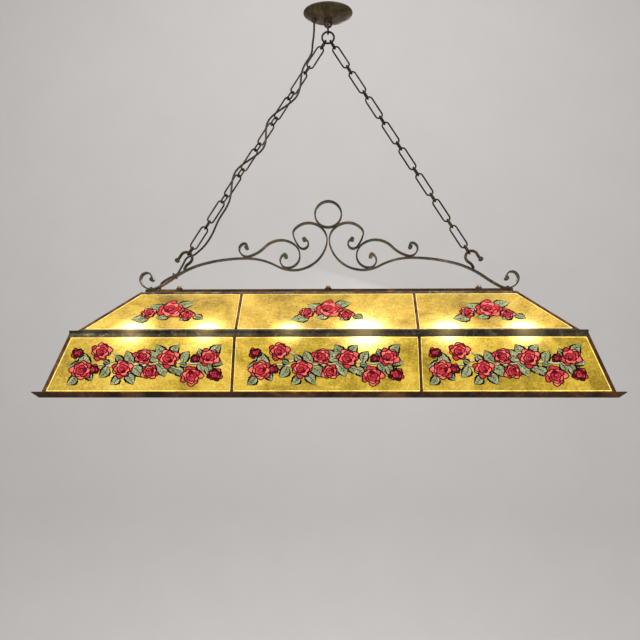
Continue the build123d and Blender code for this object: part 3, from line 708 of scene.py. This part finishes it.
# profiles of the cap and of the socket's rolled edges, as (along, radius) from the cluster's middle
cap_profile = [(0.0362, 0.0001), (0.0362, 0.0045), (0.0368, 0.0058), (0.0385, 0.0088), (0.0392, 0.0120)]
cap_profile += thread_profile(0.0395, 0.0560, 0.01275)
cap_profile += [(0.0568, 0.0127), (0.0600, 0.0127), (0.0604, 0.0118)]
bead_profile = ((0.0236, 0.0110), (0.0232, 0.0122), (0.0236, 0.0138), (0.0246, 0.0146), (0.0256, 0.0150))
lip_profile = ((0.0506, 0.0168), (0.0512, 0.0177), (0.0522, 0.0182), (0.0532, 0.0182), (0.0541, 0.0176),
               (0.0545, 0.0166), (0.0543, 0.0138))

number = 0
for cluster in cluster_xs:
    for side in (-1, 1):
        number += 1
        origin = (cluster, 0, cluster_z)
        along = (side * cos(socket_drop), 0, -sin(socket_drop))
        body = f"bulb_{number}"
        glass = lathe(f"bulb_globe_{number}", origin, along, bulb_profile(), bulb_lit, body, 48)
        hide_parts(f"bulb_{number}")
        lathe(f"bulb_cap_{number}", origin, along, cap_profile, screw_shell, body)
        lathe(f"socket_bead_{number}", origin, along, bead_profile, brass, "shade")
        lathe(f"socket_lip_{number}", origin, along, lip_profile, brass, "shade")


# ---- the cord -----------------------------------------------------------------------------
def tube(name, route, r, material, body=None, count=20, ridge=0.0):
    """A round run along a route, with faint spiral ridges, closed at both ends."""
    verts = []
    up = Vector((0.3, 1, 0.2))
    for i, p in enumerate(route):
        tangent = (route[min(i + 1, len(route) - 1)] - route[max(i - 1, 0)]).normalized()
        up = (up - tangent * up.dot(tangent)).normalized()
        side = tangent.cross(up)
        for k in range(count):
            a = 2 * pi * k / count
            radius = r * (1 - ridge * (0.5 + 0.5 * cos(5 * a + i * 0.9)))
            verts.append(p + (up * cos(a) + side * sin(a)) * radius)
    faces = skin(len(route), count)
    faces.append(tuple(reversed(range(count))))
    faces.append(tuple(range(len(verts) - count, len(verts))))
    return piece(name, verts, faces, [material], body, None, True)


# the cord's route in mm, by the CAD cord's own points: canopy, chain, hook, scroll and down into the
# spine; the curve passes through them, where the CAD cord rounds the corners off
cord_steps = 8
cord_mm = (
    (-34, 0, -24.2), (-34, 1, -37), (-35, 5, -54), (-38, 12, -72),
    (-42, 20, -96), (-63, 15.6, -137.2), (-75.5, -20.1, -217.7), (-145.9, 20.1, -261.8),
    (-155, -20.1, -344.4), (-225.4, 20.1, -388.6), (-234.5, -20.1, -471.1), (-261.2, -11, -515.4),
    (-278.9, 0, -549.2), (-298.4, 9, -574.7), (-322.8, 14.5, -594.8), (-340.5, 13.6, -602.3),
    (-350, 9.5, -620.8), (-361, 3, -642.3), (-378, 0.5, -652.2), (-392, 3.5, -659.8),
    (-403, 14, -667.8), (-405, 21, -682.8), (-397, 23, -689.3), (-392, 17, -688.8),
    (-392, 12.4, -688.8),
)
cord_points = [Vector(p) * MM for p in cord_mm]
cord_route = [Vector(p) for p in flowing(cord_points, cord_steps)]
# each run: its name, its first and last point, the bodies at its two ends, where it passes from the one to
# the other, and the node it stands for
cord_cuts = (("cord_upper", 0, 2, "canopy", "hanger", 0, 2, "cord_top"),
             ("cord_woven", 2, 14, "hanger", "chains", 2, 4, "cord_chain"),
             ("cord_lower", 14, 24, "chains", "shade", 14, 15, "cord_shade"))
for name, first, last, upper, lower, start, end, stands_for in cord_cuts:
    route = cord_route[first * cord_steps:last * cord_steps + 1]
    run = tube(name, route, 0.0025, jacket, None, 20, 0.06)
    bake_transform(run)
    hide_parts(stands_for)


# ---- stage, light and camera --------------------------------------------------------------
def plain(name, color, rough=0.9):
    """Matt paper of one colour, very slightly cloudy."""
    s = Shader(name, color, rough)
    cloud = s.ramp(s.noise(3, 3), (0.3, tuple(c * 0.97 for c in color)), (0.7, color))
    s.link(cloud, s.bsdf.inputs["Base Color"])
    return s.mat


# the backdrop's profile: floor, bend and wall
floor_z, wall_y, bend_r = -2.95, 3.4, 1.3
floor_front_y, wall_top_z, half_width = -7.0, 4.5, 8
profile = [(floor_front_y, floor_z)]
for i in range(13):
    a = i * pi / 24
    profile.append((wall_y - bend_r + bend_r * sin(a), floor_z + bend_r - bend_r * cos(a)))
profile.append((wall_y, wall_top_z))
verts, faces = [], []
for y, z in profile:
    verts += [(-half_width, y, z), (half_width, y, z)]
for i in range(len(profile) - 1):
    faces.append((2 * i, 2 * i + 1, 2 * i + 3, 2 * i + 2))
paper = plain("pale_backdrop", (0.60, 0.595, 0.60))
backdrop = piece("backdrop", verts, faces, [paper], None, None, True)

# each bulb's own light, a little under the bulb
light_drop = 0.045
for i, x in enumerate(bulb_xs, start=1):
    data = bpy.data.lights.new(f"bulb_light_{i}", "POINT")
    data.energy, data.color, data.shadow_soft_size = 5.0, (1.0, 0.76, 0.44), 0.028
    lamp = bpy.data.objects.new(f"bulb_light_{i}", data)
    lamp.location = (x, 0, bulb_z - light_drop)
    scene.collection.objects.link(lamp)


def softbox(name, place, target, size, energy, color):
    """A round area light aimed at a target, not itself seen by the camera."""
    data = bpy.data.lights.new(name, "AREA")
    data.shape, data.size, data.energy, data.color = "DISK", size, energy, color
    light = bpy.data.objects.new(name, data)
    light.location = place
    light.visible_camera = False
    light.rotation_euler = (Vector(target) - Vector(place)).to_track_quat("-Z", "Y").to_euler()
    scene.collection.objects.link(light)


softbox("key", (-1.6, -2.6, 0.9), (0, 0, -0.7), 1.6, 38, (1.0, 0.97, 0.93))
softbox("fill", (2.2, -2.2, -0.2), (0, 0, -0.75), 2.0, 26, (1.0, 0.96, 0.92))
softbox("overhead", (0.0, 0.0, 3.2), (0, 0, -1), 4.0, 150, (1.0, 0.98, 0.95))
softbox("back", (0.4, 3.0, 0.6), (0, 0, -0.8), 1.8, 26, (1.0, 0.97, 0.93))

world = bpy.data.worlds.new("studio")
world.use_nodes = True
world.node_tree.nodes["Background"].inputs["Color"].default_value = (0.82, 0.80, 0.78, 1)
world.node_tree.nodes["Background"].inputs["Strength"].default_value = 0.54
scene.world = world

view = bpy.data.cameras.new("camera")
view.lens, view.sensor_width = 46.7, 36
view.clip_start, view.clip_end = 0.05, 40
camera = bpy.data.objects.new("camera", view)
camera.location = (0.036, -1.955, -0.931)
camera.rotation_euler = (radians(95.15), 0, radians(1.63))
scene.collection.objects.link(camera)
scene.camera = camera
